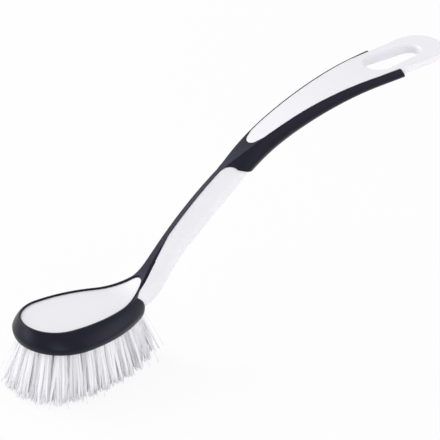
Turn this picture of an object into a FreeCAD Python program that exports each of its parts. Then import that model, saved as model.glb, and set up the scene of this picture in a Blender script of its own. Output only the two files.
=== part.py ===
import FreeCAD, Part
import enum
import math
import os
import Sketcher

V = FreeCAD.Vector


class Spot(enum.IntEnum):
    """Points of a piece of sketch geometry, by the sketcher's own numbers."""
    START = 1
    END = 2
    CENTRE = 3


class Axis(enum.IntEnum):
    """A sketch's own axes, by the sketcher's own numbers; the first one starts at the origin."""
    ALONG = -1
    UP = -2


START, END, CENTRE = Spot
ORIGIN, ROOT = Axis.ALONG, Spot.START

# Sizes in millimetres and degrees; heights are counted from the trimmed bristle tips
SIZES = {
    "bristle_reach": 27.5,
    "skirt_height": 10.7,
    "wall_swell": 0.9,
    "wall_start_swell": 0.7,
    "shoulder_front_shift": 1.8,
    "shoulder_front_margin": 4.4,
    "shoulder_rear_shift": 5.2,
    "shoulder_rear_margin": 6.2,
    "shoulder_side_cut": 1.0,
    "face_recess": 1.8,
    "plate_recess": 0.8,
    "plate_front_centre": 14.6,
    "plate_front_radius": 17.6,
    "plate_rear_centre": 31.9,
    "plate_rear_radius": 4.4,
    "plate_side_radius": 78.0,
    "rim_width": 0.9,
    "skirt_front_shift": 3.4,
    "skirt_front_margin": 6.4,
    "skirt_rear_shift": 8.1,
    "skirt_rear_margin": 8.0,
    "skirt_side_cut": 2.0,
    "rise_start_ahead": 17.5,
    "rise_radius": 26.9,
    "neck_slope": 54.1,
    "bow_radius": 200.4,
    "flank_radius": 24.0,
    "tail_slope": 6.8,
    "trim_allowance": 0.8,
    "stripe_depth": 1.2,
    "ridge_head_half": 12.0,
    "ridge_head_past": 3.1,
    "ridge_root_half": 2.9,
    "ridge_root_slope": 51.9,
    "ridge_low_half": 1.7,
    "ridge_low_slope": 47.9,
    "ridge_high_half": 1.5,
    "ridge_high_slope": 35.9,
    "ridge_grip_half": 4.4,
    "ridge_grip_slope": 32.1,
    "cutter_reach": 300.0,
    "cutter_height": 260.0,
    "cutter_width": 140.0,
    "paddle_start_half": 13.6,
    "paddle_thickness": 5.6,
    "paddle_edge_draw": 3.2,
    "paddle_overlap": 0.6,
    "end_half_width": 15.0,
    "end_along": 34.2,
    "slot_wide_along": 9.6,
    "slot_wide_radius": 8.4,
    "slot_tip_along": 29.6,
    "slot_tip_radius": 6.2,
    "slot_ease": 0.9,
    "cut_overrun": 4.0,
    "slot_clearance": 3.2,
    "window_start_slope": 29.7,
    "window_end_radius": 4.2,
    "window_flare_slope": 22.2,
    "window_flare_half": 13.0,
    "wrap_front_slope": 35.6,
    "wrap_front_depth": 1.3,
    "wrap_arch_end_slope": 33.0,
    "wrap_arch_end_depth": 5.4,
    "wrap_foot_slope": 28.5,
    "wrap_foot_depth": 17.7,
    "wrap_rear_past": 11.7,
    "wrap_rear_over": 1.8,
    "wrap_heel_length": 7.8,
    "wrap_heel_depth": 13.1,
    "hole_radius": 2.2,
    "hole_floor": 1.7,
    "tuft_clearance": 0.1,
    "tuft_tip_radius": 4.3,
    "tuft_overrun": 4.0,
    "tuft_trim_depth": 20.0,
    "outer_ring_inset": 3.7,
    "inner_ring_inset": 10.9,
    "inner_row_ahead": 1.2,
    "inner_row_back": 14.2,
    "anchor_height": 1.7,
    "anchor_thickness": 0.4,
    "anchor_bite": 0.55,
    "anchor_lift": 1.3,
}

# How many tufts, how far the tips fan out, and flutes round a tuft
OUTER_RING_COUNT = 21
INNER_RING_COUNT = 12
INNER_ROW_COUNT = 3
FAN_LENGTH_SHARE = 0.21
FAN_WIDTH_SHARE = 0.42
FLUTE_COUNT = 8
FLUTE_DEPTH_SHARE = 0.86
TUFT_TURN = 137.5
# The wrap's front arch: share of its chord
ARCH_RADIUS_SHARE = 0.58
# Down the flat end's edge: share of the thickness, then share of the draw
PADDLE_EDGE_SHARES = ((0.0, 0.24), (0.08, 0.06), (0.25, 0.0), (0.55, 0.12), (0.82, 0.46), (1.0, 1.0))
START_SHARE = 0.17
SWELL_SHARE = 0.34
SHOULDER_SHARE = 0.7
RIDGE_STATIONS = ("head", "root", "low", "high", "grip")

# Cross sections, hung from the top line where it has a slope, or past the straight tail's start:
# half width of the ridge, half width, corner radius, depth of that corner's centre, and full depth
SECTIONS = {
    "root_in": {"slope": 2.0, "tilt": 6.0, "ridge": 7.4, "half": 8.6,
                "round": 4.0, "sink": 4.2, "depth": 8.6},
    "root_mid": {"slope": 22.0, "tilt": 14.0, "ridge": 6.2, "half": 8.6,
                 "round": 4.2, "sink": 5.8, "depth": 11.0},
    "root_out": {"slope": 38.0, "tilt": 24.0, "ridge": 4.2, "half": 7.9,
                 "round": 3.4, "sink": 9.4, "depth": 14.2},
    "root_neck": {"slope": 52.0, "tilt": 40.0, "ridge": 2.4, "half": 7.3,
                  "round": 4.4, "sink": 9.4, "depth": 14.8},
    "neck_foot": {"slope": 51.0, "ridge": 1.2, "half": 6.6, "round": 5.2, "sink": 8.4, "depth": 14.4},
    "neck_low": {"slope": 45.0, "ridge": 0.8, "half": 6.8, "round": 5.4, "sink": 9.2, "depth": 15.5},
    "neck_mid": {"slope": 39.0, "ridge": 0.8, "half": 6.8, "round": 5.4, "sink": 9.2, "depth": 15.4},
    "neck_top": {"slope": 33.0, "ridge": 2.0, "half": 6.4, "round": 5.0, "sink": 8.0, "depth": 13.8},
    "keel_low": {"slope": 28.0, "ridge": 5.1, "half": 5.6, "round": 3.6, "sink": 5.4, "depth": 10.6},
    "keel_rise": {"slope": 21.5, "ridge": 7.3, "half": 7.6, "round": 3.2, "sink": 4.4, "depth": 9.6},
    "keel_mid": {"slope": 15.0, "ridge": 9.6, "half": 9.8, "round": 3.0, "sink": 3.6, "depth": 8.6},
    "keel_high": {"slope": 9.0, "ridge": 12.0, "half": 12.2, "round": 2.8, "sink": 3.2, "depth": 7.8},
    "wrap_start": {"slope": 39.0, "ridge": 0.9, "half": 6.9, "round": 5.4, "sink": 9.2, "depth": 15.5},
    "wrap_low": {"slope": 33.0, "ridge": 2.6, "half": 7.2, "round": 5.4, "sink": 8.4, "depth": 14.8},
    "wrap_grip": {"slope": 28.0, "ridge": 5.7, "half": 7.6, "round": 4.6, "sink": 6.4, "depth": 13.0},
    "wrap_rise": {"slope": 21.5, "ridge": 7.9, "half": 9.3, "round": 4.4, "sink": 5.2, "depth": 12.0},
    "wrap_mid": {"slope": 15.0, "ridge": 10.2, "half": 11.4, "round": 4.0, "sink": 4.4, "depth": 11.0},
    "wrap_high": {"slope": 9.0, "ridge": 12.6, "half": 13.5, "round": 3.4, "sink": 3.6, "depth": 9.4},
    "tail_low": {"past": 12.1, "ridge": 14.2, "half": 14.6, "round": 2.2, "sink": 2.4, "depth": 6.6},
    "tail_mid": {"past": 34.1, "ridge": 15.0, "half": 15.4, "round": 2.2, "sink": 2.4, "depth": 6.4},
    "wrap_back": {"past": 12.1, "ridge": 14.4, "half": 15.5, "round": 3.0, "sink": 3.0, "depth": 8.0},
    "wrap_end": {"past": 34.1, "ridge": 15.4, "half": 16.4, "round": 2.8, "sink": 2.8, "depth": 7.4},
}
NECK_ORDER = ("root_in", "root_mid", "root_out", "root_neck", "neck_foot", "neck_low", "neck_mid",
              "neck_top", "keel_low", "keel_rise", "keel_mid", "keel_high", "tail_low", "tail_mid")
WRAP_ORDER = ("wrap_start", "wrap_low", "wrap_grip", "wrap_rise", "wrap_mid", "wrap_high",
              "wrap_back", "wrap_end")
SECTION_WORDS = ("ridge", "half", "round", "sink", "depth")
BOW_STATIONS = ("window_start", "window_flare", "wrap_front", "wrap_arch_end", "wrap_foot",
                "ridge_root", "ridge_low", "ridge_high", "ridge_grip")

doc = FreeCAD.newDocument("dish_brush")
sheet = doc.addObject("Spreadsheet::Sheet", "Sheet")


def driving_sizes():
    sizes = dict(SIZES)
    for name, row in SECTIONS.items():
        sizes.update({name + "_" + word: value for word, value in row.items()})
    return sizes


def head_formulas():
    """The shoulder and the skirt follow the plate; the tuft holes leave a floor under it."""
    formulas = {"hole_depth": "skirt_height - face_recess - plate_recess - hole_floor"}
    for name in ("shoulder", "skirt"):
        for end in ("front", "rear"):
            formulas["%s_%s_centre" % (name, end)] = "plate_%s_centre - %s_%s_shift" % (end, name, end)
            formulas["%s_%s_radius" % (name, end)] = "plate_%s_radius + %s_%s_margin" % (end, name, end)
        formulas[name + "_side_radius"] = "plate_side_radius - %s_side_cut" % name
    return formulas


def top_line_formulas():
    """The bow's centre and end, and where the top line reaches the slope of each station on the bow."""
    turn = "(neck_slope * 1 deg)"
    end = "(tail_slope * 1 deg)"
    formulas = {
        "bow_centre_ahead": "rise_start_ahead + (bow_radius + rise_radius) * sin" + turn,
        "bow_centre_drop": "(bow_radius + rise_radius) * cos" + turn
                           + " - bristle_reach - skirt_height - rise_radius",
        "paddle_start_ahead": "bow_centre_ahead - bow_radius * sin" + end,
        "paddle_start_height": "bow_radius * cos" + end + " - bow_centre_drop",
        "ridge_head_ahead": "plate_rear_centre + ridge_head_past",
    }
    for name in BOW_STATIONS:
        formulas[name + "_ahead"] = "bow_centre_ahead - bow_radius * sin(%s_slope * 1 deg)" % name
    for name, row in SECTIONS.items():
        if "past" in row:
            formulas[name + "_ahead"] = "paddle_start_ahead + %s_past" % name
    return formulas


def wrap_formulas():
    """Corners of the wrap in side view, each at its depth below the top line."""
    formulas = {}
    for name in ("wrap_front", "wrap_arch_end", "wrap_foot"):
        top = "bow_radius * cos(%s_slope * 1 deg) - bow_centre_drop" % name
        formulas[name + "_height"] = "%s - %s_depth" % (top, name)
    across = "(wrap_arch_end_ahead - wrap_front_ahead)^2 + (wrap_arch_end_height - wrap_front_height)^2"
    formulas["wrap_arch_radius"] = "%r * sqrt(%s)" % (ARCH_RADIUS_SHARE, across)
    formulas["wrap_rear_ahead"] = "paddle_start_ahead + wrap_rear_past"
    formulas["wrap_heel_ahead"] = "wrap_rear_ahead + wrap_heel_length"
    tail = "paddle_start_height + (%s - paddle_start_ahead) * tan(tail_slope * 1 deg)"
    formulas["wrap_rear_height"] = tail % "wrap_rear_ahead" + " + wrap_rear_over"
    formulas["wrap_heel_height"] = tail % "wrap_heel_ahead" + " - wrap_heel_depth"
    return formulas


def fill_sheet():
    """Driving sizes as plain numbers, then the sizes that follow from them as formulas."""
    contents = {alias: str(value) for alias, value in driving_sizes().items()}
    for formulas in (head_formulas(), top_line_formulas(), wrap_formulas()):
        contents.update({alias: "=" + formula for alias, formula in formulas.items()})
    for number, (alias, content) in enumerate(contents.items(), start=1):
        sheet.set("A%d" % number, content)
        sheet.setAlias("A%d" % number, alias)
    doc.recompute()


def size(alias):
    return float(getattr(sheet, alias))


def cell(alias):
    return "Sheet." + alias


def plane(body, role):
    for feature in body.Origin.OriginFeatures:
        if feature.Role == role:
            return feature


def new_sketch(body, name, role):
    sketch = body.newObject("Sketcher::SketchObject", name)
    sketch.AttachmentSupport = [(plane(body, role), "")]
    sketch.MapMode = "FlatFace"
    return sketch


def bind(sketch, kind, first, first_point, second, second_point, value, expression):
    index = sketch.addConstraint(
        Sketcher.Constraint(kind, first, first_point, second, second_point, value))
    sketch.setExpression("Constraints[%d]" % index, expression)


def bind_radius(sketch, geometry, value, expression):
    index = sketch.addConstraint(Sketcher.Constraint("Radius", geometry, value))
    sketch.setExpression("Constraints[%d]" % index, expression)


def bind_point(sketch, geometry, point, at, expressions):
    """Pins a point to the sketch origin by its two distances, each kept positive."""
    for kind, value, text in zip(("DistanceX", "DistanceY"), at, expressions):
        if value < 0:
            bind(sketch, kind, geometry, point, ORIGIN, ROOT, -value, text)
        else:
            bind(sketch, kind, ORIGIN, ROOT, geometry, point, value, text)


def join(sketch, kind, first, first_point, second, second_point):
    sketch.addConstraint(Sketcher.Constraint(kind, first, first_point, second, second_point))


def circle_arc(centre, radius, from_angle, to_angle):
    circle = Part.Circle(V(centre[0], centre[1], 0), V(0, 0, 1), radius)
    return Part.ArcOfCircle(circle, from_angle, to_angle)


def segment(start, end):
    return Part.LineSegment(V(start[0], start[1], 0), V(end[0], end[1], 0))


class Egg:
    """Outline of four tangent arcs: a front, a rear and two sides."""

    def __init__(self, front, front_radius, rear, rear_radius, side_radius):
        self.front, self.front_radius = -front, front_radius
        self.rear, self.rear_radius = rear, rear_radius
        self.side_radius = side_radius
        near, far = side_radius - front_radius, side_radius - rear_radius
        span = self.rear - self.front
        along = (near ** 2 - far ** 2 + span ** 2) / (2 * span)
        self.side_x = self.front + along
        self.side_y = math.sqrt(near ** 2 - along ** 2)
        self.front_angle = math.atan2(self.side_y, self.front - self.side_x)
        self.rear_angle = math.atan2(self.side_y, self.rear - self.side_x)

    def arcs(self):
        turn = 2 * math.pi
        front = circle_arc((self.front, 0), self.front_radius, self.front_angle, turn - self.front_angle)
        low = circle_arc((self.side_x, self.side_y), self.side_radius,
                         turn - self.front_angle, turn - self.rear_angle)
        rear = circle_arc((self.rear, 0), self.rear_radius, -self.rear_angle, self.rear_angle)
        high = circle_arc((self.side_x, -self.side_y), self.side_radius, self.rear_angle, self.front_angle)
        return [front, low, rear, high]


def egg_sizes(name, grow=0.0):
    words = ("front_centre", "front_radius", "rear_centre", "rear_radius", "side_radius")
    values = [size(name + "_" + word) for word in words]
    for index in (1, 3, 4):
        values[index] += grow
    return values


def egg_sketch(body, sketch_name, name, grow_alias=None, sign=1):
    sketch = new_sketch(body, sketch_name, "XY_Plane")
    egg = Egg(*egg_sizes(name, sign * size(grow_alias) if grow_alias else 0.0))
    front, low, rear, high = [sketch.addGeometry(arc) for arc in egg.arcs()]
    more = " %s %s" % ("+" if sign > 0 else "-", cell(grow_alias)) if grow_alias else ""
    join(sketch, "Tangent", front, END, low, START)
    join(sketch, "Tangent", low, END, rear, START)
    join(sketch, "Tangent", rear, END, high, START)
    join(sketch, "Tangent", high, END, front, START)
    for arc in (front, rear):
        sketch.addConstraint(Sketcher.Constraint("PointOnObject", arc, CENTRE, ORIGIN))
    bind(sketch, "DistanceX", front, CENTRE, ORIGIN, ROOT, -egg.front, cell(name + "_front_centre"))
    bind(sketch, "DistanceX", ORIGIN, ROOT, rear, CENTRE, egg.rear, cell(name + "_rear_centre"))
    bind_radius(sketch, front, egg.front_radius, cell(name + "_front_radius") + more)
    bind_radius(sketch, rear, egg.rear_radius, cell(name + "_rear_radius") + more)
    bind_radius(sketch, low, egg.side_radius, cell(name + "_side_radius") + more)
    sketch.addConstraint(Sketcher.Constraint("Equal", low, high))
    return sketch


def lift(sketch, expression):
    sketch.setExpression("AttachmentOffset.Base.z", expression)


def new_body(name):
    return doc.addObject("PartDesign::Body", name)


def pad(body, name, sketch, expression, symmetric):
    feature = body.newObject("PartDesign::Pad", name)
    feature.Profile = sketch
    feature.SideType = "Symmetric" if symmetric else "One side"
    feature.setExpression("Length", expression)
    return feature


def loft(body, name, sketches, ruled):
    feature = body.newObject("PartDesign::AdditiveLoft", name)
    feature.Profile = sketches[0]
    feature.Sections = sketches[1:]
    feature.Ruled = ruled
    return feature


RIM_HEIGHT = "(Sheet.bristle_reach + Sheet.skirt_height)"
FACE_HEIGHT = "(Sheet.bristle_reach + Sheet.face_recess)"


def rim_height():
    return size("bristle_reach") + size("skirt_height")


def rise_start():
    reach = size("bow_radius") + size("rise_radius")
    height = rim_height() + size("rise_radius") + size("bow_centre_drop")
    return size("bow_centre_ahead") - math.sqrt(reach ** 2 - height ** 2)


RISE_START = ("(Sheet.bow_centre_ahead - sqrt((Sheet.bow_radius + Sheet.rise_radius)^2 - ("
              + RIM_HEIGHT + " + Sheet.rise_radius + Sheet.bow_centre_drop)^2))")


def bow_point(slope):
    turn = math.radians(slope)
    return (size("bow_centre_ahead") - size("bow_radius") * math.sin(turn),
            size("bow_radius") * math.cos(turn) - size("bow_centre_drop"))


def bow_expressions(slope_text):
    angle = "(" + slope_text + " * 1 deg)"
    return ("Sheet.bow_centre_ahead - Sheet.bow_radius * sin" + angle,
            "Sheet.bow_radius * cos" + angle + " - Sheet.bow_centre_drop")


def tail_point(ahead):
    start = bow_point(size("tail_slope"))
    return ahead, start[1] + (ahead - start[0]) * math.tan(math.radians(size("tail_slope")))


def tail_expressions(ahead_text):
    start = bow_expressions("Sheet.tail_slope")
    return (ahead_text, "(%s) + (%s - (%s)) * tan(Sheet.tail_slope * 1 deg)"
            % (start[1], ahead_text, start[0]))


def rise_point(slope):
    turn = math.radians(slope)
    return (rise_start() + size("rise_radius") * math.sin(turn),
            rim_height() + size("rise_radius") * (1 - math.cos(turn)))


def rise_expressions(slope_text):
    angle = "(" + slope_text + " * 1 deg)"
    return (RISE_START + " + Sheet.rise_radius * sin" + angle,
            RIM_HEIGHT + " + Sheet.rise_radius * (1 - cos" + angle + ")")


def top_line_sketch(body, name, drop_alias):
    """Side view of everything above the top line, let down by a drop."""
    drop = size(drop_alias) if drop_alias else 0.0
    less = " - " + cell(drop_alias) if drop_alias else ""
    more = " + " + cell(drop_alias) if drop_alias else ""
    sketch = new_sketch(body, name, "XZ_Plane")
    floor = rim_height() - drop
    rise = size("rise_radius") + drop
    bow = size("bow_radius") - drop
    centre = (size("bow_centre_ahead"), -size("bow_centre_drop"))
    first = rise_start()
    slope = math.asin((centre[0] - first) / (bow + rise))
    meet = (centre[0] - bow * math.sin(slope), centre[1] + bow * math.cos(slope))
    low = math.radians(size("tail_slope"))
    leave = (centre[0] - bow * math.sin(low), centre[1] + bow * math.cos(low))
    far = size("cutter_reach")
    end = (far, leave[1] + (far - leave[0]) * math.tan(low))
    roof = size("cutter_height")
    quarter = math.pi / 2
    level = sketch.addGeometry(segment((-far, floor), (first, floor)))
    hollow = sketch.addGeometry(circle_arc((first, floor + rise), rise, -quarter, slope - quarter))
    arch = sketch.addGeometry(circle_arc(centre, bow, quarter + low, quarter + slope))
    tail = sketch.addGeometry(segment(leave, end))
    back = sketch.addGeometry(segment(end, (far, roof)))
    over = sketch.addGeometry(segment((far, roof), (-far, roof)))
    front = sketch.addGeometry(segment((-far, roof), (-far, floor)))
    join(sketch, "Tangent", level, END, hollow, START)
    join(sketch, "Tangent", hollow, END, arch, END)
    join(sketch, "Tangent", arch, START, tail, START)
    for one, two in ((tail, back), (back, over), (over, front), (front, level)):
        join(sketch, "Coincident", one, END, two, START)
    for line in (level, over):
        sketch.addConstraint(Sketcher.Constraint("Horizontal", line))
    for line in (back, front):
        sketch.addConstraint(Sketcher.Constraint("Vertical", line))
    bind_radius(sketch, hollow, rise, "Sheet.rise_radius" + more)
    bind_radius(sketch, arch, bow, "Sheet.bow_radius" + less)
    bind_point(sketch, arch, CENTRE, centre, ("Sheet.bow_centre_ahead", "Sheet.bow_centre_drop"))
    bind(sketch, "DistanceX", ORIGIN, ROOT, tail, START, leave[0],
         "Sheet.bow_centre_ahead - (Sheet.bow_radius%s) * sin(Sheet.tail_slope * 1 deg)" % less)
    bind_point(sketch, level, START, (-far, floor), ("Sheet.cutter_reach", RIM_HEIGHT + less))
    bind(sketch, "DistanceX", ORIGIN, ROOT, tail, END, far, "Sheet.cutter_reach")
    bind(sketch, "DistanceY", ORIGIN, ROOT, over, START, roof, "Sheet.cutter_height")
    return sketch


def above_top_line(name, drop_alias=None):
    body = new_body(name)
    sketch = top_line_sketch(body, name + "_profile", drop_alias)
    pad(body, name + "_pad", sketch, "Sheet.cutter_width", True)
    return body


def section_shape(name):
    top, half, corner, at, depth = [size(name + "_" + word) for word in SECTION_WORDS]
    across, below = half - corner, depth - at
    belly = (across ** 2 + below ** 2 - corner ** 2) / (2 * (below - corner))
    lean = math.atan2(-at + depth - belly, across)
    return top, size("trim_allowance"), across, at, corner, belly, belly - depth, lean


def crown_centre(top, lid, across, at, corner):
    """Centre of the flank's arc, which leaves the ridge's edge and runs into the round corner."""
    radius = size("flank_radius")
    away = V(top - across, lid + at, 0)
    reach = away.Length
    along = ((radius - corner) ** 2 - radius ** 2 + reach ** 2) / (2 * reach)
    aside = math.sqrt((radius - corner) ** 2 - along ** 2)
    centre = V(across, -at, 0) + away * (along / reach) + V(-away.y, away.x, 0) * (aside / reach)
    touch = math.atan2(-at - centre.y, across - centre.x)
    return (centre.x, centre.y), radius, touch, math.atan2(lid - centre.y, top - centre.x)


def section_outline(sketch, name):
    """A ridge-topped section: a lid, two crowned flanks, two round corners and a belly."""
    top, lid, across, at, corner, belly, belly_y, lean = section_shape(name)
    crown, radius, touch, leave = crown_centre(top, lid, across, at, corner)
    shapes = [segment((-top, lid), (top, lid)), circle_arc(crown, radius, touch, leave),
              circle_arc((across, -at), corner, lean, touch),
              circle_arc((0, belly_y), belly, -math.pi - lean, lean),
              circle_arc((-across, -at), corner, math.pi - touch, math.pi - lean),
              circle_arc((-crown[0], crown[1]), radius, math.pi - leave, math.pi - touch)]
    cover, flank, turn, base, other, back = [sketch.addGeometry(shape) for shape in shapes]
    join(sketch, "Coincident", cover, END, flank, END)
    join(sketch, "Tangent", flank, START, turn, END)
    join(sketch, "Tangent", turn, START, base, END)
    join(sketch, "Tangent", base, START, other, END)
    join(sketch, "Tangent", other, START, back, END)
    join(sketch, "Coincident", back, START, cover, START)
    sketch.addConstraint(Sketcher.Constraint("Symmetric", cover, START, cover, END, Axis.UP))
    sketch.addConstraint(Sketcher.Constraint("Symmetric", turn, CENTRE, other, CENTRE, Axis.UP))
    sketch.addConstraint(Sketcher.Constraint("Equal", turn, other))
    sketch.addConstraint(Sketcher.Constraint("Equal", flank, back))
    part = {word: cell(name + "_" + word) for word in SECTION_WORDS}
    bind_point(sketch, cover, END, (top, lid), (part["ridge"], "Sheet.trim_allowance"))
    inner = part["half"] + " - " + part["round"]
    bind_point(sketch, turn, CENTRE, (across, -at), (inner, part["sink"]))
    bind_radius(sketch, turn, corner, part["round"])
    bind_radius(sketch, flank, radius, "Sheet.flank_radius")
    below = "(" + part["depth"] + " - " + part["sink"] + ")"
    bind_radius(sketch, base, belly, "((%s)^2 + %s^2 - %s^2) / (2 * (%s - %s))"
                % (inner, below, part["round"], below, part["round"]))


def section_sketch(body, name, at, texts, tilt, tilt_text):
    sketch = new_sketch(body, name + "_section", "YZ_Plane")
    turn = FreeCAD.Rotation(V(-1, 0, 0), tilt)
    sketch.AttachmentOffset = FreeCAD.Placement(V(0, at[1], at[0]), turn)
    sketch.setExpression("AttachmentOffset.Base.z", texts[0])
    sketch.setExpression("AttachmentOffset.Base.y", texts[1])
    sketch.setExpression("AttachmentOffset.Rotation.Angle", tilt_text)
    section_outline(sketch, name)
    return sketch


def bow_section(body, name):
    slope = name + "_slope"
    return section_sketch(body, name, bow_point(size(slope)), bow_expressions(cell(slope)),
                          size(slope), cell(slope))


def tail_section(body, name):
    ahead = name + "_ahead"
    return section_sketch(body, name, tail_point(size(ahead)), tail_expressions(cell(ahead)),
                          size("tail_slope"), "Sheet.tail_slope")


def rise_section(body, name):
    slope, tilt = name + "_slope", name + "_tilt"
    return section_sketch(body, name, rise_point(size(slope)), rise_expressions(cell(slope)),
                          size(tilt), cell(tilt))


def section(body, name):
    if "past" in SECTIONS[name]:
        return tail_section(body, name)
    if "tilt" in SECTIONS[name]:
        return rise_section(body, name)
    return bow_section(body, name)


def lofted(name, section_names):
    body = new_body(name)
    loft(body, name + "_loft", [section(body, one) for one in section_names], False)
    return body


def boolean(kind, name, base, tools):
    if kind == "cut":
        feature = doc.addObject("Part::Cut", name)
        feature.Base = base
        feature.Tool = tools[0] if len(tools) == 1 else compound(name + "_tools", tools)
        return feature
    feature = doc.addObject({"fuse": "Part::MultiFuse", "common": "Part::MultiCommon"}[kind], name)
    feature.Shapes = [base] + list(tools)
    return feature


def compound(name, shapes):
    feature = doc.addObject("Part::Compound", name)
    feature.Links = list(shapes)
    return feature


def head_band(name, rows):
    """A smooth band of the head's wall through three outlines: their sizes, growth and share of height."""
    body = new_body(name)
    outlines = []
    for index, (egg, grow, share) in enumerate(rows):
        outlines.append(egg_sketch(body, "%s_outline_%d" % (name, index), egg, grow))
        lift(outlines[-1], "Sheet.bristle_reach + Sheet.skirt_height * %s" % share)
    loft(body, name + "_loft", outlines, False)
    return body


def head_shape(above):
    """A skirt that swells, a shoulder that draws in to the rim, and a wall that the top line trims."""
    swell = ("skirt", "wall_swell", SWELL_SHARE)
    start = ("skirt", "wall_start_swell", START_SHARE)
    shoulder = ("shoulder", None, SHOULDER_SHARE)
    lower = head_band("head_skirt", [("skirt", None, 0), start, swell])
    upper = head_band("head_shoulder", [swell, shoulder, ("plate", "rim_width", 1)])
    wall = egg_pad("head_wall", FACE_HEIGHT, "Sheet.skirt_height + Sheet.rise_radius", "rim_width")
    whole = boolean("fuse", "head_whole", lower, [upper, wall])
    return boolean("cut", "head_trimmed", whole, [above])


def egg_pad(name, base, height, grow_alias=None):
    body = new_body(name)
    sketch = egg_sketch(body, name + "_outline", "plate", grow_alias)
    lift(sketch, base)
    pad(body, name + "_pad", sketch, height, False)
    return body


def chain(sketch, corners, texts):
    """Straight lines through pinned corners; the first and last corners are left to the caller."""
    lines = [sketch.addGeometry(segment(one, two)) for one, two in zip(corners, corners[1:])]
    for one, two in zip(lines, lines[1:]):
        join(sketch, "Coincident", one, END, two, START)
    for line, corner, text in zip(lines, corners[1:-1], texts):
        bind_point(sketch, line, END, corner, text)
    return lines


def tail_plane(sketch, depth, depth_text):
    """Lays a sketch parallel to the straight tail, from the flat end's start, at a depth below the top."""
    slope = math.radians(size("tail_slope"))
    start = tail_point(size("paddle_start_ahead"))
    at = V(start[0] + depth * math.sin(slope), 0, start[1] - depth * math.cos(slope))
    sketch.AttachmentOffset = FreeCAD.Placement(at, FreeCAD.Rotation(V(0, -1, 0), size("tail_slope")))
    texts = tail_expressions("Sheet.paddle_start_ahead")
    along = "%s + (%s) * sin(Sheet.tail_slope * 1 deg)" % (texts[0], depth_text)
    height = "%s - (%s) * cos(Sheet.tail_slope * 1 deg)" % (texts[1], depth_text)
    sketch.setExpression("AttachmentOffset.Base.x", along)
    sketch.setExpression("AttachmentOffset.Base.z", height)
    sketch.setExpression("AttachmentOffset.Rotation.Angle", "Sheet.tail_slope")


def paddle_outline(body, name, inset, inset_text):
    """Plan of the handle's flat end: sides that widen into a round tip, drawn in by an inset."""
    sketch = new_sketch(body, name, "XY_Plane")
    half, radius = size("paddle_start_half") - inset, size("end_half_width") - inset
    far = size("end_along")
    touch = math.pi - math.atan2(half, far) - math.acos(radius / math.hypot(far, half))
    low = (far + radius * math.cos(touch), -radius * math.sin(touch))
    tip = sketch.addGeometry(circle_arc((far, 0), radius, -touch, touch))
    side = sketch.addGeometry(segment((low[0], -low[1]), (0, half)))
    back = sketch.addGeometry(segment((0, half), (0, -half)))
    other = sketch.addGeometry(segment((0, -half), low))
    join(sketch, "Tangent", tip, END, side, START)
    join(sketch, "Coincident", side, END, back, START)
    join(sketch, "Coincident", back, END, other, START)
    join(sketch, "Tangent", other, END, tip, START)
    sketch.addConstraint(Sketcher.Constraint("PointOnObject", back, START, Axis.UP))
    sketch.addConstraint(Sketcher.Constraint("PointOnObject", tip, CENTRE, ORIGIN))
    sketch.addConstraint(Sketcher.Constraint("Symmetric", back, START, back, END, ORIGIN))
    bind(sketch, "DistanceY", ORIGIN, ROOT, back, START, half, "Sheet.paddle_start_half - " + inset_text)
    bind(sketch, "DistanceX", ORIGIN, ROOT, tip, CENTRE, far, "Sheet.end_along")
    bind_radius(sketch, tip, radius, "Sheet.end_half_width - " + inset_text)
    return sketch


def slot_outline(body, name, grow, grow_text):
    """Plan of the hanging slot: wide at the front, narrower behind, grown by a margin."""
    sketch = new_sketch(body, name, "XY_Plane")
    wide, tip = size("slot_wide_along"), size("slot_tip_along")
    big, small = size("slot_wide_radius") + grow, size("slot_tip_radius") + grow
    lean = math.acos((big - small) / (tip - wide))
    turn = 2 * math.pi
    start = sketch.addGeometry(circle_arc((wide, 0), big, lean, turn - lean))
    low = sketch.addGeometry(segment((wide + big * math.cos(lean), -big * math.sin(lean)),
                                     (tip + small * math.cos(lean), -small * math.sin(lean))))
    nose = sketch.addGeometry(circle_arc((tip, 0), small, -lean, lean))
    high = sketch.addGeometry(segment((tip + small * math.cos(lean), small * math.sin(lean)),
                                      (wide + big * math.cos(lean), big * math.sin(lean))))
    for one, two in ((start, low), (low, nose), (nose, high), (high, start)):
        join(sketch, "Tangent", one, END, two, START)
    for arc in (start, nose):
        sketch.addConstraint(Sketcher.Constraint("PointOnObject", arc, CENTRE, ORIGIN))
    bind(sketch, "DistanceX", ORIGIN, ROOT, start, CENTRE, wide, "Sheet.slot_wide_along")
    bind(sketch, "DistanceX", ORIGIN, ROOT, nose, CENTRE, tip, "Sheet.slot_tip_along")
    bind_radius(sketch, start, big, "Sheet.slot_wide_radius + " + grow_text)
    bind_radius(sketch, nose, small, "Sheet.slot_tip_radius + " + grow_text)
    return sketch


def slot_form(name, rows):
    """The slot as a stack of outlines: each row is a depth and a growth, both with their expressions."""
    body = new_body(name)
    outlines = []
    for index, (depth, depth_text, grow, grow_text) in enumerate(rows):
        outlines.append(slot_outline(body, "%s_outline_%d" % (name, index), grow, grow_text))
        tail_plane(outlines[-1], depth, depth_text)
    loft(body, name + "_loft", outlines, True)
    return body


def eased_slot():
    """The slot with its mouth eased above and below."""
    ease, thick, over = size("slot_ease"), size("paddle_thickness"), size("cut_overrun")
    wide = (ease, "Sheet.slot_ease")
    plain = (0.0, "0")
    rows = [(-over, "-1 * Sheet.cut_overrun") + wide, (0.0, "0") + wide,
            (ease, "Sheet.slot_ease") + plain,
            (thick - ease, "Sheet.paddle_thickness - Sheet.slot_ease") + plain,
            (thick, "Sheet.paddle_thickness") + wide,
            (thick + over, "Sheet.paddle_thickness + Sheet.cut_overrun") + wide]
    return slot_form("slot", rows)


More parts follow.
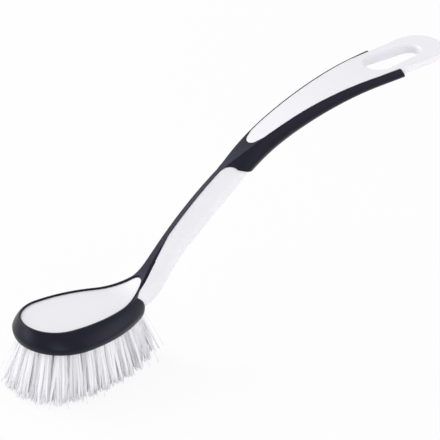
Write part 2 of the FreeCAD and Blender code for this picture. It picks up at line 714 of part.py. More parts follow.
def clear_slot():
    """The room that the soft skin leaves round the slot."""
    thick, over, grow = size("paddle_thickness"), size("cut_overrun"), size("slot_clearance")
    rows = [(-over, "-1 * Sheet.cut_overrun", grow, "Sheet.slot_clearance"),
            (thick + over, "Sheet.paddle_thickness + Sheet.cut_overrun", grow, "Sheet.slot_clearance")]
    return slot_form("slot_clear", rows)


def paddle():
    """The handle's flat end, its edge rounded by outlines that draw in above and below."""
    body = new_body("paddle_form")
    thick, draw = size("paddle_thickness"), size("paddle_edge_draw")
    outlines = []
    for index, (down, inward) in enumerate(PADDLE_EDGE_SHARES):
        text = "Sheet.paddle_edge_draw * %r" % inward
        outlines.append(paddle_outline(body, "paddle_outline_%d" % index, draw * inward, text))
        tail_plane(outlines[-1], thick * down, "Sheet.paddle_thickness * %r" % down)
    loft(body, "paddle_loft", outlines, True)
    return boolean("cut", "paddle", body, [eased_slot()])


def window_zone():
    body = new_body("window_zone")
    sketch = new_sketch(body, "window_outline", "XY_Plane")
    radius = size("window_end_radius")
    centre = size("window_start_ahead") + radius
    flare, half = size("window_flare_ahead"), size("window_flare_half")
    far, side = size("cutter_reach"), size("cutter_width")
    reach = math.hypot(flare - centre, half)
    touch = math.atan2(half, flare - centre) + math.acos(radius / reach)
    low = (centre + radius * math.cos(touch), -radius * math.sin(touch))
    arc = sketch.addGeometry(circle_arc((centre, 0), radius, touch, 2 * math.pi - touch))
    corners = [low, (flare, -half), (flare, -side), (far, -side), (far, side), (flare, side),
               (flare, half), (low[0], -low[1])]
    ahead = ["Sheet.window_flare_ahead"] * 2 + ["Sheet.cutter_reach"] * 2 + ["Sheet.window_flare_ahead"] * 2
    beside = ["Sheet.window_flare_half"] + ["Sheet.cutter_width"] * 4 + ["Sheet.window_flare_half"]
    lines = chain(sketch, corners, list(zip(ahead, beside)))
    join(sketch, "Tangent", arc, END, lines[0], START)
    join(sketch, "Tangent", lines[-1], END, arc, START)
    sketch.addConstraint(Sketcher.Constraint("PointOnObject", arc, CENTRE, ORIGIN))
    bind(sketch, "DistanceX", ORIGIN, ROOT, arc, CENTRE, centre,
         "Sheet.window_start_ahead + Sheet.window_end_radius")
    bind_radius(sketch, arc, radius, "Sheet.window_end_radius")
    pad(body, "window_pad", sketch, "Sheet.cutter_height", False)
    return body


def ridge_plan():
    """Plan of the soft stripe on the neck's ridge: wide at the head and the grip, narrow between."""
    body = new_body("ridge_plan")
    sketch = new_sketch(body, "ridge_outline", "XY_Plane")
    ahead = ["ridge_%s_ahead" % name for name in RIDGE_STATIONS] + ["window_flare_ahead"]
    beside = ["ridge_%s_half" % name for name in RIDGE_STATIONS] + ["window_flare_half"]
    side = [((size(a), size(b)), (cell(a), cell(b))) for a, b in zip(ahead, beside)]
    far, half = size("cutter_reach"), size("ridge_head_half")
    side.insert(0, ((-far, half), ("Sheet.cutter_reach", "Sheet.ridge_head_half")))
    other = [((at[0], -at[1]), texts) for at, texts in reversed(side)]
    corners = side + other
    lines = chain(sketch, [at for at, texts in corners + corners[:1]],
                  [texts for at, texts in corners[1:]])
    join(sketch, "Coincident", lines[-1], END, lines[0], START)
    bind_point(sketch, lines[0], START, corners[0][0], corners[0][1])
    pad(body, "ridge_pad", sketch, "Sheet.cutter_height", False)
    return body


def wrap_zone():
    """Side view of the part of the handle that the soft skin wraps all round."""
    body = new_body("wrap_zone")
    sketch = new_sketch(body, "wrap_outline", "XZ_Plane")
    names = ("front", "arch_end", "foot", "heel", "rear")
    ahead = {name: size("wrap_%s_ahead" % name) for name in names}
    roof, radius = size("cutter_height"), size("wrap_arch_radius")
    start = V(ahead["front"], size("wrap_front_height"), 0)
    end = V(ahead["arch_end"], size("wrap_arch_end_height"), 0)
    middle, across = (start + end) * 0.5, end - start
    sink = math.sqrt(radius ** 2 - (across.Length / 2) ** 2)
    down = V(across.y, -across.x, 0).normalize()
    centre = middle + down * sink
    angles = [math.atan2(p.y - centre.y, p.x - centre.x) for p in (end, start)]
    arch = sketch.addGeometry(circle_arc((centre.x, centre.y), radius, angles[0], angles[1]))
    corners = [(end.x, end.y), (ahead["foot"], size("wrap_foot_height")),
               (ahead["heel"], size("wrap_heel_height")), (ahead["rear"], size("wrap_rear_height")),
               (ahead["rear"], roof), (ahead["front"], roof), (start.x, start.y)]
    texts = [("Sheet.wrap_%s_ahead" % name, "Sheet.wrap_%s_height" % name) for name in names[2:]]
    texts += [("Sheet.wrap_%s_ahead" % name, "Sheet.cutter_height") for name in ("rear", "front")]
    lines = chain(sketch, corners, texts)
    join(sketch, "Coincident", arch, START, lines[0], START)
    join(sketch, "Coincident", lines[-1], END, arch, END)
    bind_point(sketch, arch, START, (end.x, end.y),
               ("Sheet.wrap_arch_end_ahead", "Sheet.wrap_arch_end_height"))
    bind_point(sketch, arch, END, (start.x, start.y), ("Sheet.wrap_front_ahead", "Sheet.wrap_front_height"))
    bind_radius(sketch, arch, radius, "Sheet.wrap_arch_radius")
    pad(body, "wrap_pad", sketch, "Sheet.cutter_width", True)
    return body


def ring_points(inset, count):
    """Even places along the plate's outline drawn in by an inset; the rear may come to a point."""
    egg = Egg(*egg_sizes("plate"))
    radius = egg.side_radius - inset
    front = egg.front_radius - inset
    rear = egg.rear_radius - inset
    if rear > 0:
        last = egg.rear_angle
    else:
        last = math.asin(egg.side_y / radius)
    side = Part.ArcOfCircle(Part.Circle(V(egg.side_x, -egg.side_y, 0), V(0, 0, 1), radius),
                            last, egg.front_angle).toShape()
    nose = Part.ArcOfCircle(Part.Circle(V(egg.front, 0, 0), V(0, 0, 1), front),
                            egg.front_angle, math.pi).toShape()
    half = Part.Wire([side, nose])
    points = half.discretize(Number=count + 1)
    upper = [(p.x, abs(p.y)) for p in points]
    return upper


def tuft_places():
    places = []
    for inset, count in ((size("outer_ring_inset"), OUTER_RING_COUNT),
                         (size("inner_ring_inset"), INNER_RING_COUNT)):
        upper = ring_points(inset, count)
        places += [upper[index] for index in range(0, count + 1, 2)]
        places += [(x, -y) for x, y in (upper[index] for index in range(2, count, 2))]
    first, last = -size("inner_row_back"), size("inner_row_ahead")
    step = (last - first) / (INNER_ROW_COUNT - 1)
    places += [(first + step * index, 0.0) for index in range(INNER_ROW_COUNT)]
    return places


def box(name, at, texts):
    feature = doc.addObject("Part::Box", name)
    for word, expression in zip(("Length", "Width", "Height"), texts):
        feature.setExpression(word, expression)
    feature.Placement = FreeCAD.Placement(V(*at), FreeCAD.Rotation())
    return feature


def star_sketch(body, name, radius, radius_text, along):
    """A fluted outline: points and hollows by turns, none of them on an axis."""
    sketch = new_sketch(body, name, "XY_Plane")
    lift(sketch, along)
    corners, texts = [], []
    for index in range(2 * FLUTE_COUNT):
        share = FLUTE_DEPTH_SHARE if index % 2 else 1.0
        turn = math.pi * (index + 0.5) / FLUTE_COUNT
        across, up = share * math.cos(turn), share * math.sin(turn)
        corners.append((radius * across, radius * up))
        texts.append(("%s * %r" % (radius_text, abs(across)), "%s * %r" % (radius_text, abs(up))))
    lines = chain(sketch, corners + corners[:1], texts[1:])
    join(sketch, "Coincident", lines[-1], END, lines[0], START)
    bind_point(sketch, lines[0], START, corners[0], texts[0])
    return sketch


def tuft_form():
    """One tuft along +Z, from the bottom of its hole to past the trimmed tips."""
    body = new_body("tuft_form")
    root, tip = size("hole_radius") - size("tuft_clearance"), size("tuft_tip_radius")
    root_text = "(Sheet.hole_radius - Sheet.tuft_clearance)"
    mouth = "Sheet.hole_depth"
    past = "Sheet.hole_depth + Sheet.tuft_overrun + " + FACE_HEIGHT
    rows = [star_sketch(body, "tuft_root", root, root_text, "Sheet.tuft_clearance"),
            star_sketch(body, "tuft_mouth", root, root_text, mouth),
            star_sketch(body, "tuft_tip", tip, "Sheet.tuft_tip_radius", past)]
    loft(body, "tuft_loft", rows, True)
    return body


def tuft_axis(place):
    """Unit direction from a hole's mouth to where its tips fan out."""
    return V(place[0] * FAN_LENGTH_SHARE, place[1] * FAN_WIDTH_SHARE, -face_height()).normalize()


def face_height():
    return size("bristle_reach") + size("face_recess")


def hole_frame(place, turn):
    """Placement whose +Z runs from a hole's bottom out through its mouth."""
    axis = tuft_axis(place)
    tilt = FreeCAD.Rotation(V(0, 0, 1), axis)
    spin = FreeCAD.Rotation(V(0, 0, 1), turn)
    bottom = V(place[0], place[1], face_height()) - axis * size("hole_depth")
    return FreeCAD.Placement(bottom, tilt * spin)


def hole(name, frame):
    """A blind hole that also breaks out below the face."""
    feature = doc.addObject("Part::Cylinder", name)
    feature.setExpression("Radius", "Sheet.hole_radius")
    feature.setExpression("Height", "Sheet.hole_depth + Sheet.hole_radius")
    feature.Placement = frame
    return feature


def anchor(name, frame):
    """A flat wire across a hole, its ends driven into the hole's wall."""
    feature = doc.addObject("Part::Box", name)
    feature.setExpression("Length", "2 * (Sheet.hole_radius + Sheet.anchor_bite)")
    feature.setExpression("Width", "Sheet.anchor_thickness")
    feature.setExpression("Height", "Sheet.anchor_height")
    length = 2 * (size("hole_radius") + size("anchor_bite"))
    back = V(-length / 2, -size("anchor_thickness") / 2, size("anchor_lift"))
    feature.Placement = frame.multiply(FreeCAD.Placement(back, FreeCAD.Rotation()))
    return feature


def tufts(places):
    form = tuft_form()
    side, low = size("cutter_width"), size("tuft_trim_depth")
    trim = box("tuft_trim", (-side, -side, -low),
               ("2 * Sheet.cutter_width", "2 * Sheet.cutter_width", "Sheet.tuft_trim_depth"))
    made, holes, anchors = [], [], []
    for number, place in enumerate(places, start=1):
        frame = hole_frame(place, TUFT_TURN * number)
        holes.append(hole("hole_%02d" % number, frame))
        anchors.append(anchor("anchor_%02d" % number, frame))
        copy = compound("tuft_copy_%02d" % number, [form])
        copy.Placement = frame
        made.append(boolean("cut", "tuft_%02d" % number, copy, [trim, anchors[-1]]))
    return made, holes, anchors


def core_parts(above):
    """The stiff moulding before its tuft holes, and the stripe of soft skin on the neck's ridge."""
    plug = egg_pad("plug", FACE_HEIGHT, "Sheet.skirt_height + Sheet.rise_radius")
    block = boolean("cut", "core_block", plug, [above_top_line("above_plate", "plate_recess")])
    neck = lofted("neck_form", NECK_ORDER)
    length = "Sheet.paddle_start_ahead + Sheet.paddle_overlap"
    span = box("neck_span", (0, -size("cutter_width") / 2, face_height()),
               (length, "Sheet.cutter_width", "Sheet.cutter_height"))
    kept = boolean("common", "neck_kept", neck, [span])
    trimmed = boolean("cut", "neck_trimmed", kept, [above])
    deep = above_top_line("above_stripe", "stripe_depth")
    open_ridge = boolean("common", "ridge_open", deep, [ridge_plan()])
    ridge = boolean("cut", "ridge_zone", open_ridge, [window_zone()])
    stripe = boolean("common", "ridge_stripe", trimmed, [ridge])
    keel = boolean("cut", "core_neck", trimmed, [ridge])
    return plug, boolean("fuse", "core_solid", block, [keel, paddle()]), stripe


def soft_skin(above, plug, core, stripe):
    pocket = egg_pad("face_pocket", "0", FACE_HEIGHT)
    skirt = boolean("cut", "skirt_skin", head_shape(above), [plug, pocket, core])
    wrap = boolean("cut", "wrap_open", lofted("wrap_form", WRAP_ORDER), [above])
    band = boolean("common", "wrap_band", wrap, [wrap_zone()])
    grip = boolean("cut", "grip_skin", band, [core, clear_slot()])
    ridge = boolean("cut", "ridge_skin", stripe, [plug])
    return boolean("fuse", "soft_overmould", skirt, [ridge, grip])


def faults(feature):
    shape = feature.Shape
    if "Invalid" in feature.State or "Error" in feature.State:
        return str(feature.State)
    if shape.isNull() or not shape.isValid():
        return "no valid shape"
    return ""


fill_sheet()
above_top = above_top_line("above_top")
head_plug, core_solid, ridge_stripe = core_parts(above_top)
skin = soft_skin(above_top, head_plug, core_solid, ridge_stripe)
tuft_list, hole_list, anchor_list = tufts(tuft_places())
anchor_group = compound("tuft_anchors", anchor_list)
core = boolean("cut", "handle_core", core_solid, hole_list + anchor_list)
doc.recompute()

nodes = [core, skin, anchor_group] + tuft_list
for feature in doc.Objects:
    if "Invalid" in feature.State or "Error" in feature.State:
        raise RuntimeError("%s: %s" % (feature.Name, feature.State))
for feature in nodes:
    wanted = len(anchor_list) if feature is anchor_group else 1
    if faults(feature) or len(feature.Shape.Solids) != wanted:
        raise RuntimeError("%s: %s, %d solids" % (feature.Name, faults(feature), len(feature.Shape.Solids)))
    feature.Label = feature.Name

os.makedirs("parts", exist_ok=True)
for feature in nodes:
    feature.Shape.exportStep("parts/%s.step" % feature.Label)
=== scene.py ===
"""Looks of the dish brush: a white stiff moulding, a black soft skin, and real filaments in every tuft."""
import math
import random

import bpy
from mathutils import Matrix, Vector


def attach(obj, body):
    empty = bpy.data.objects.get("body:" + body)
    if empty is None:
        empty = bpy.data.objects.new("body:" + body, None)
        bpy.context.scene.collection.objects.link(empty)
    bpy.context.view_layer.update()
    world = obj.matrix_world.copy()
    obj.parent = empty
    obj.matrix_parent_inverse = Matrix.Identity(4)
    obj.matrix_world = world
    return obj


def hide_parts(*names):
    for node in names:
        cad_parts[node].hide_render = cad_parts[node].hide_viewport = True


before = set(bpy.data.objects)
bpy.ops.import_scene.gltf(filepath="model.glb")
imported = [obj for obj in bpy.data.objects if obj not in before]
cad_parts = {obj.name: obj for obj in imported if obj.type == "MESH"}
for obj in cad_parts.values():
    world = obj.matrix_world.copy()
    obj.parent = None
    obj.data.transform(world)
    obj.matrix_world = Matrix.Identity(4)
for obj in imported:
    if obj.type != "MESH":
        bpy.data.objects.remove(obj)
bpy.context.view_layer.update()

SEED = 11
HALFWAY = 0.5

# Camera, in metres, for a picture of this many pixels a side
IMAGE_PIXELS = 440
FOCAL_PIXELS = 2306.9
SENSOR_MM = 36.0
CAMERA_PLACE = (-0.54133, -0.86780, 0.62094)
CAMERA_AZIMUTH = math.radians(-35.867)
CAMERA_ELEVATION = math.radians(27.446)
CAMERA_ROLL = math.radians(1.861)

# Light: the world lights the object at its strength, and the camera sees it at the stage's white
WORLD_COLOUR = (1.0, 1.0, 1.0, 1.0)
WORLD_STRENGTH = 0.53
STAGE_WHITE = 1.0
LAMP_TARGET = (0.09, 0.0, 0.06)
LAMPS = {
    "fill_lamp": {"place": (-0.60, -0.95, 0.20), "size": 0.5, "watts": 3.0},
    "low_lamp": {"place": (0.35, -1.00, 0.06), "size": 0.3, "watts": 0.6},
    "right_lamp": {"place": (0.75, -0.60, 0.35), "size": 0.6, "watts": 1.9},
    "top_lamp": {"place": (0.15, 0.10, 1.10), "size": 0.9, "watts": 2.4},
    "back_lamp": {"place": (-0.59, 0.87, 0.53), "size": 0.7, "watts": 2.6},
    "high_lamp": {"place": (-0.33, 0.95, 0.85), "size": 0.5, "watts": 2.8},
    "left_lamp": {"place": (-1.08, 0.50, 0.15), "size": 0.5, "watts": 2.8},
}

# Floor, in metres: the share of its glow rises from the first to the second over the fade's distances
FLOOR_SIZE = 8.0
FLOOR_DROP = 0.0002
FLOOR_GLOW_SHARES = (0.86, 1.0)
FLOOR_FADE = (0.35, 1.1)
FLOOR_SHADER = {"Base Color": (0.93, 0.93, 0.94, 1.0), "Roughness": 0.9}

# Edges, in metres
CORE_EDGE_RADIUS = 0.0006
SKIN_EDGE_RADIUS = 0.0009
EDGE_SAMPLES = 8
SHARP_ANGLE = math.radians(32)

# Finish of the stiff core: colours and roughness run from the first to the second
CORE_COLOURS = ((0.835, 0.825, 0.870, 1.0), (0.875, 0.870, 0.910, 1.0))
CORE_ROUGHNESS = (0.34, 0.38)
CORE_CLOUDS = {"scale": 45.0, "detail": 3.0, "stretch": (0.4, 1.0, 1.0)}
CORE_POLISH = {"scale": 60.0, "detail": 2.0}
CORE_GRAIN = {"scale": 2600.0, "detail": 2.0}
CORE_RELIEF = {"Distance": 0.00001, "Strength": 0.15}
CORE_SHADER = {
    "Subsurface Weight": 0.15,
    "Subsurface Radius": (1.0, 0.95, 1.0),
    "Subsurface Scale": 0.003,
    "Specular IOR Level": 0.38,
}

# Finish of the soft skin
SKIN_COLOURS = ((0.0036, 0.0036, 0.0060, 1.0), (0.0064, 0.0062, 0.0100, 1.0))
SKIN_ROUGHNESS = (0.31, 0.41)
SKIN_CLOUDS = {"scale": 70.0}
SKIN_POLISH = {"scale": 240.0}
SKIN_GRAIN = {"scale": 3200.0, "detail": 2.0}
SKIN_RELIEF = {"Distance": 0.00006, "Strength": 0.35}
SKIN_SHADER = {"Specular IOR Level": 0.235, "Specular Tint": (0.66, 0.64, 1.0, 1.0)}

# Finish of the bristles
BRISTLE_COLOURS = ((0.940, 0.938, 0.985, 1.0), (0.980, 0.978, 0.998, 1.0))
BRISTLE_ROUGHNESS = (0.22, 0.38)
BRISTLE_POLISH = {"scale": 900.0, "detail": 2.0}
BRISTLE_SHADER = {"Specular IOR Level": 0.35}

# Finish of the anchors
ANCHOR_COLOURS = ((0.52, 0.52, 0.50, 1.0), (0.72, 0.71, 0.69, 1.0))
ANCHOR_ROUGHNESS = (0.25, 0.45)
ANCHOR_SCORES = {"scale": 2000.0, "detail": 3.0, "stretch": (0.1, 1.0, 1.0)}
ANCHOR_SHADER = {"Metallic": 1.0}

# Tufts, in metres: what strands and loose filaments share
END_SHARE = 0.12  # of a tuft's height, counted as its end
ROOT_RADIUS = 0.0021
ROOT_SETBACK = 0.0025  # from the middle of the buried end to where a filament starts
TIP_RADIUS = 0.0046
TIP_SPLAY = 1.07  # a tip's distance from the head's middle, against the solid's
TIP_JITTER = 0.0006
FAN_SHARE = 0.85  # of the fanning out, at the point that a filament's curve is drawn towards
BOW_JITTER = 0.0006
STRAY_SHARE = 0.06
STRAY_LEAN = 0.0036
PATH_STEPS = 7
GOLDEN_ANGLE = math.pi * (3.0 - math.sqrt(5.0))

# Loose filaments, which stand outside the inner share of a tuft's area
FILAMENT_COUNT = 72
FILAMENT_SIDES = 5
FILAMENT_RADIUS = 0.00015
FILAMENT_INNER_SHARE = 0.45
FILAMENT_TRIM = 0.0008

# Strands, in which most of a tuft's filaments cling together
STRAND_COUNT = 24
STRAND_SIDES = 9
STRAND_RADIUS = 0.00100
STRAND_SPREAD_SHARE = 0.84
STRAND_TAPER_SHARE = 0.62
STRAND_TAPER_POWER = 4
STRAND_RELIEF_SHARE = 0.16
STRAND_TRIM = 0.0010
STRAND_TIP_RADIUS = STRAND_RADIUS * (1 - STRAND_TAPER_SHARE)


def set_inputs(node, values):
    for name, value in values.items():
        node.inputs[name].default_value = value


def new_material(name, values):
    """A node material whose shader has these values: returns it with its node tree and its shader."""
    material = bpy.data.materials.new(name)
    material.use_nodes = True
    shader = material.node_tree.nodes["Principled BSDF"]
    set_inputs(shader, values)
    return material, material.node_tree, shader


def noise(tree, scale, detail=4.0, stretch=(1.0, 1.0, 1.0)):
    """Noise in the object's own metres, so that it keeps its real scale."""
    place = tree.nodes.new("ShaderNodeTexCoord")
    mapping = tree.nodes.new("ShaderNodeMapping")
    set_inputs(mapping, {"Scale": stretch})
    texture = tree.nodes.new("ShaderNodeTexNoise")
    set_inputs(texture, {"Scale": scale, "Detail": detail})
    tree.links.new(place.outputs["Object"], mapping.inputs["Vector"])
    tree.links.new(mapping.outputs["Vector"], texture.inputs["Vector"])
    return texture.outputs["Fac"]


def blend_colours(tree, factor, colours):
    """The factor's zero to one as a colour from the first to the second."""
    ramp = tree.nodes.new("ShaderNodeValToRGB")
    for element, colour in zip(ramp.color_ramp.elements, colours):
        element.color = colour
    tree.links.new(factor, ramp.inputs["Fac"])
    return ramp.outputs["Color"]


def spread(tree, factor, to_range, from_range=(0.0, 1.0)):
    """The factor, carried from its own range over to another."""
    ranged = tree.nodes.new("ShaderNodeMapRange")
    limits = ("From Min", "From Max", "To Min", "To Max")
    set_inputs(ranged, dict(zip(limits, (*from_range, *to_range))))
    tree.links.new(factor, ranged.inputs["Value"])
    return ranged.outputs["Result"]


def combine(tree, operation, first, second):
    """Two values through a math node."""
    node = tree.nodes.new("ShaderNodeMath")
    node.operation = operation
    for value, socket in zip((first, second), node.inputs):
        tree.links.new(value, socket)
    return node.outputs["Value"]


def vary(tree, shader, tone, colours, polish, roughness):
    """A colour that follows the tone, and a roughness that follows the polish."""
    tree.links.new(blend_colours(tree, tone, colours), shader.inputs["Base Color"])
    tree.links.new(spread(tree, polish, roughness), shader.inputs["Roughness"])


def eased_bump(tree, shader, edge_radius, grain, relief):
    """Rounds the edges' shading, then adds the surface's fine relief."""
    edge = tree.nodes.new("ShaderNodeBevel")
    edge.samples = EDGE_SAMPLES
    set_inputs(edge, {"Radius": edge_radius})
    bump = tree.nodes.new("ShaderNodeBump")
    set_inputs(bump, relief)
    tree.links.new(noise(tree, **grain), bump.inputs["Height"])
    tree.links.new(edge.outputs["Normal"], bump.inputs["Normal"])
    tree.links.new(bump.outputs["Normal"], shader.inputs["Normal"])


def core_material():
    """Satin white polypropylene: a little light goes in, flow leaves faint clouds, the tool a fine grain."""
    material, tree, shader = new_material("core_white", CORE_SHADER)
    clouds, polish = noise(tree, **CORE_CLOUDS), noise(tree, **CORE_POLISH)
    vary(tree, shader, clouds, CORE_COLOURS, polish, CORE_ROUGHNESS)
    eased_bump(tree, shader, CORE_EDGE_RADIUS, CORE_GRAIN, CORE_RELIEF)
    return material


def skin_material():
    """Matt black elastomer with a fine spark-eroded grain."""
    material, tree, shader = new_material("soft_skin_black", SKIN_SHADER)
    clouds, polish = noise(tree, **SKIN_CLOUDS), noise(tree, **SKIN_POLISH)
    vary(tree, shader, clouds, SKIN_COLOURS, polish, SKIN_ROUGHNESS)
    eased_bump(tree, shader, SKIN_EDGE_RADIUS, SKIN_GRAIN, SKIN_RELIEF)
    return material


def bristle_material():
    """White filament; each loose one, and each furrow of a strand, has its own tone."""
    material, tree, shader = new_material("bristle_white", BRISTLE_SHADER)
    tone = tree.nodes.new("ShaderNodeAttribute")
    tone.attribute_name = "tone"
    polish = noise(tree, **BRISTLE_POLISH)
    vary(tree, shader, tone.outputs["Fac"], BRISTLE_COLOURS, polish, BRISTLE_ROUGHNESS)
    return material


def anchor_material():
    """Drawn steel wire, scored along its length."""
    material, tree, shader = new_material("anchor_steel", ANCHOR_SHADER)
    scores = noise(tree, **ANCHOR_SCORES)
    vary(tree, shader, scores, ANCHOR_COLOURS, scores, ANCHOR_ROUGHNESS)
    return material


def dress(node, material):
    """Gives a CAD node its finish and smooth shading; its shape stays."""
    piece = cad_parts[node]
    piece.data.materials.clear()
    piece.data.materials.append(material)
    piece.data.shade_smooth()
    piece.data.set_sharp_from_angle(angle=SHARP_ANGLE)


def add_object(name, data):
    """A new object in the scene."""
    thing = bpy.data.objects.new(name, data)
    bpy.context.scene.collection.objects.link(thing)
    return thing


def middle_of(points):
    return sum(points, Vector()) / len(points)


def tuft_ends(node):
    """Middle of a tuft's buried end, and of its trimmed tip splayed a little, read from the frame."""
    corners = [corner.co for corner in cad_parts[node].data.vertices]
    low, high = min(c.z for c in corners), max(c.z for c in corners)
    reach = END_SHARE * (high - low)
    root = middle_of([c for c in corners if c.z > high - reach])
    tip = middle_of([c for c in corners if c.z < low + reach])
    return root, Vector((tip.x * TIP_SPLAY, tip.y * TIP_SPLAY, tip.z))


def round_axis(axis, angle):
    """The direction at this angle round an axis, square to it."""
    side = axis.orthogonal().normalized()
    return side * math.cos(angle) + axis.cross(side) * math.sin(angle)


def even_places(count):
    """Places spread evenly over a disc: for each the share of the area inside it, and its angle."""
    return [((index + HALFWAY) / count, index * GOLDEN_ANGLE) for index in range(count)]


def scatter(dice, size):
    """A chance shift, level with the floor."""
    return Vector((dice.gauss(0, size), dice.gauss(0, size), 0))


def bent_line(start, middle, end):
    """Points from start to end along a quadratic curve that is drawn towards the middle."""
    steps = [step / PATH_STEPS for step in range(PATH_STEPS + 1)]
    return [start * (1 - t) ** 2 + middle * 2 * t * (1 - t) + end * t ** 2 for t in steps]


def filament_path(dice, share, angle, root, tip, end_radius, trim):
    """Points of one filament or strand, from its hole to its trimmed end.

    It stands at this share of the tuft's radius and at this angle round the tuft.
    Its end has this radius, and clears the floor by as much and by a chance trim.
    """
    axis = (tip - root).normalized()
    outward = round_axis(axis, angle)
    start = root + axis * ROOT_SETBACK + outward * share * ROOT_RADIUS
    end = tip + outward * share * TIP_RADIUS
    end += scatter(dice, TIP_JITTER)
    if dice.random() < STRAY_SHARE:
        from_centre = Vector((tip.x, tip.y, 0)).normalized()
        end += (outward + from_centre) * dice.random() * STRAY_LEAN
    end.z = end_radius + abs(dice.gauss(0, trim))
    fan = outward * share * (TIP_RADIUS - ROOT_RADIUS)
    middle = (start + end) * HALFWAY + fan * (FAN_SHARE - HALFWAY)
    middle += scatter(dice, BOW_JITTER)
    return bent_line(start, middle, end)


def add_rings(corners, faces, rings):
    """A closed skin over rings of as many points each."""
    first, sides = len(corners), len(rings[0])
    for ring in rings:
        corners.extend(ring)
    for step in range(len(rings) - 1):
        low = first + step * sides
        for k in range(sides):
            following = (k + 1) % sides
            faces.append((low + k, low + following, low + sides + following, low + sides + k))
    last = first + (len(rings) - 1) * sides
    faces.append(tuple(first + k for k in reversed(range(sides))))
    faces.append(tuple(last + k for k in range(sides)))


def spokes_round(path, sides):
    """Directions square to a path, evenly round it."""
    axis = (path[-1] - path[0]).normalized()
    return [round_axis(axis, math.tau * k / sides) for k in range(sides)]


def filament_rings(path):
    spokes = spokes_round(path, FILAMENT_SIDES)
    return [[point + spoke * FILAMENT_RADIUS for spoke in spokes] for point in path]


def strand_rings(dice, path):
    """A strand's rings: furrowed along its length, and thinner towards its tip."""
    spokes = spokes_round(path, STRAND_SIDES)
    furrows = [STRAND_RADIUS * (1 - dice.random() * STRAND_RELIEF_SHARE) for _ in spokes]
    rings = []
    for step, point in enumerate(path):
        taper = 1 - STRAND_TAPER_SHARE * (step / PATH_STEPS) ** STRAND_TAPER_POWER
        rings.append([point + spoke * furrow * taper for spoke, furrow in zip(spokes, furrows)])
    return rings


def tuft(node, material, dice):
    """A tuft of strands and loose filaments, in place of the CAD solid."""
    root, tip = tuft_ends(node)
    corners, faces, tones = [], [], []
    for area_share, angle in even_places(STRAND_COUNT):
        share = STRAND_SPREAD_SHARE * math.sqrt(area_share)
        path = filament_path(dice, share, angle, root, tip, STRAND_TIP_RADIUS, STRAND_TRIM)
        rings = strand_rings(dice, path)
        add_rings(corners, faces, rings)
        tones.extend([dice.random() for _ in rings[0]] * len(rings))
    for area_share, angle in even_places(FILAMENT_COUNT):
        share = math.sqrt(FILAMENT_INNER_SHARE + (1 - FILAMENT_INNER_SHARE) * area_share)
        path = filament_path(dice, share, angle, root, tip, FILAMENT_RADIUS, FILAMENT_TRIM)
        rings = filament_rings(path)
        add_rings(corners, faces, rings)
        tones.extend([dice.random()] * (FILAMENT_SIDES * len(rings)))
    mesh = bpy.data.meshes.new(node + "_filaments")
    mesh.from_pydata(corners, [], faces)
    mesh.attributes.new("tone", "FLOAT", "POINT").data.foreach_set("value", tones)
    mesh.materials.append(material)
    mesh.shade_smooth()
    piece = add_object(node + "_filaments", mesh)
    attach(piece, "root")
    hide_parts(node)


def view_rays(tree):
    """One for what the camera, a reflection or clear material sees, zero for light falling on the object."""
    path = tree.nodes.new("ShaderNodeLightPath")
    seen = path.outputs["Is Camera Ray"]
    for name in ("Is Glossy Ray", "Is Transmission Ray"):
        seen = combine(tree, "MAXIMUM", seen, path.outputs[name])
    return seen


def add_world():
    world = bpy.data.worlds.new("studio")
    world.use_nodes = True
    tree = world.node_tree
    background = tree.nodes["Background"]
    set_inputs(background, {"Color": WORLD_COLOUR})
    strength = spread(tree, view_rays(tree), (WORLD_STRENGTH, STAGE_WHITE))
    tree.links.new(strength, background.inputs["Strength"])
    bpy.context.scene.world = world


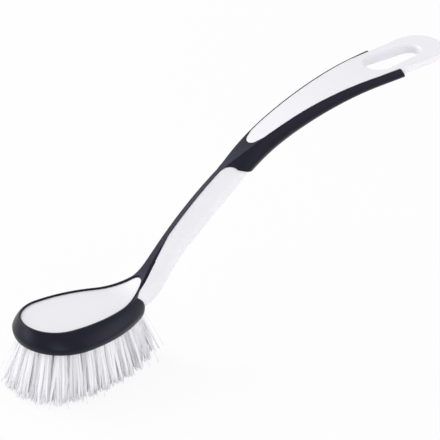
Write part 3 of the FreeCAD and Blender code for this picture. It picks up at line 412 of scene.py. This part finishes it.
def floor_material():
    """Pale floor that the camera sees as near white, with the brush's shadow still on it."""
    material, tree, shader = new_material("floor_pale", FLOOR_SHADER)
    glow = tree.nodes.new("ShaderNodeEmission")
    set_inputs(glow, {"Strength": STAGE_WHITE})
    place = tree.nodes.new("ShaderNodeTexCoord")
    away = tree.nodes.new("ShaderNodeVectorMath")
    away.operation = "LENGTH"
    tree.links.new(place.outputs["Object"], away.inputs["Vector"])
    glow_share = spread(tree, away.outputs["Value"], FLOOR_GLOW_SHARES, FLOOR_FADE)
    mix = tree.nodes.new("ShaderNodeMixShader")
    factor, shaded, glowing = mix.inputs
    tree.links.new(combine(tree, "MULTIPLY", glow_share, view_rays(tree)), factor)
    tree.links.new(shader.outputs["BSDF"], shaded)
    tree.links.new(glow.outputs["Emission"], glowing)
    tree.links.new(mix.outputs["Shader"], tree.nodes["Material Output"].inputs["Surface"])
    return material


def add_floor():
    half = FLOOR_SIZE / 2
    corners = [(-half, -half, 0), (half, -half, 0), (half, half, 0), (-half, half, 0)]
    mesh = bpy.data.meshes.new("floor")
    mesh.from_pydata(corners, [], [tuple(range(len(corners)))])
    mesh.materials.append(floor_material())
    floor = add_object("floor", mesh)
    floor.location.z = -FLOOR_DROP


def add_lamps():
    for name, values in LAMPS.items():
        light = bpy.data.lights.new(name, "AREA")
        light.size = values["size"]
        light.energy = values["watts"]
        lamp = add_object(name, light)
        lamp.location = values["place"]
        towards = Vector(LAMP_TARGET) - lamp.location
        lamp.rotation_euler = towards.to_track_quat("-Z", "Y").to_euler()


def add_camera():
    """The camera, turned by its azimuth, elevation and roll."""
    level = math.cos(CAMERA_ELEVATION)
    flat = Vector((math.cos(CAMERA_AZIMUTH), math.sin(CAMERA_AZIMUTH), 0.0))
    back = Vector((
        math.sin(CAMERA_AZIMUTH) * level,
        -math.cos(CAMERA_AZIMUTH) * level,
        math.sin(CAMERA_ELEVATION),
    ))
    upright = back.cross(flat)
    right = flat * math.cos(CAMERA_ROLL) + upright * math.sin(CAMERA_ROLL)
    up = upright * math.cos(CAMERA_ROLL) - flat * math.sin(CAMERA_ROLL)
    data = bpy.data.cameras.new("camera")
    data.sensor_width = SENSOR_MM
    data.lens = FOCAL_PIXELS / IMAGE_PIXELS * SENSOR_MM
    camera = add_object("camera", data)
    turn = Matrix((right, up, back)).transposed().to_4x4()
    camera.matrix_world = Matrix.Translation(CAMERA_PLACE) @ turn
    bpy.context.scene.camera = camera


def main():
    dice = random.Random(SEED)
    bpy.context.scene.view_settings.view_transform = "Standard"
    dress("handle_core", core_material())
    dress("soft_overmould", skin_material())
    dress("tuft_anchors", anchor_material())
    bristle = bristle_material()
    tufts = sorted(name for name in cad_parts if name.startswith("tuft_"))
    tufts.remove("tuft_anchors")
    for node in tufts:
        tuft(node, bristle, dice)
    add_world()
    add_floor()
    add_lamps()
    add_camera()


main()
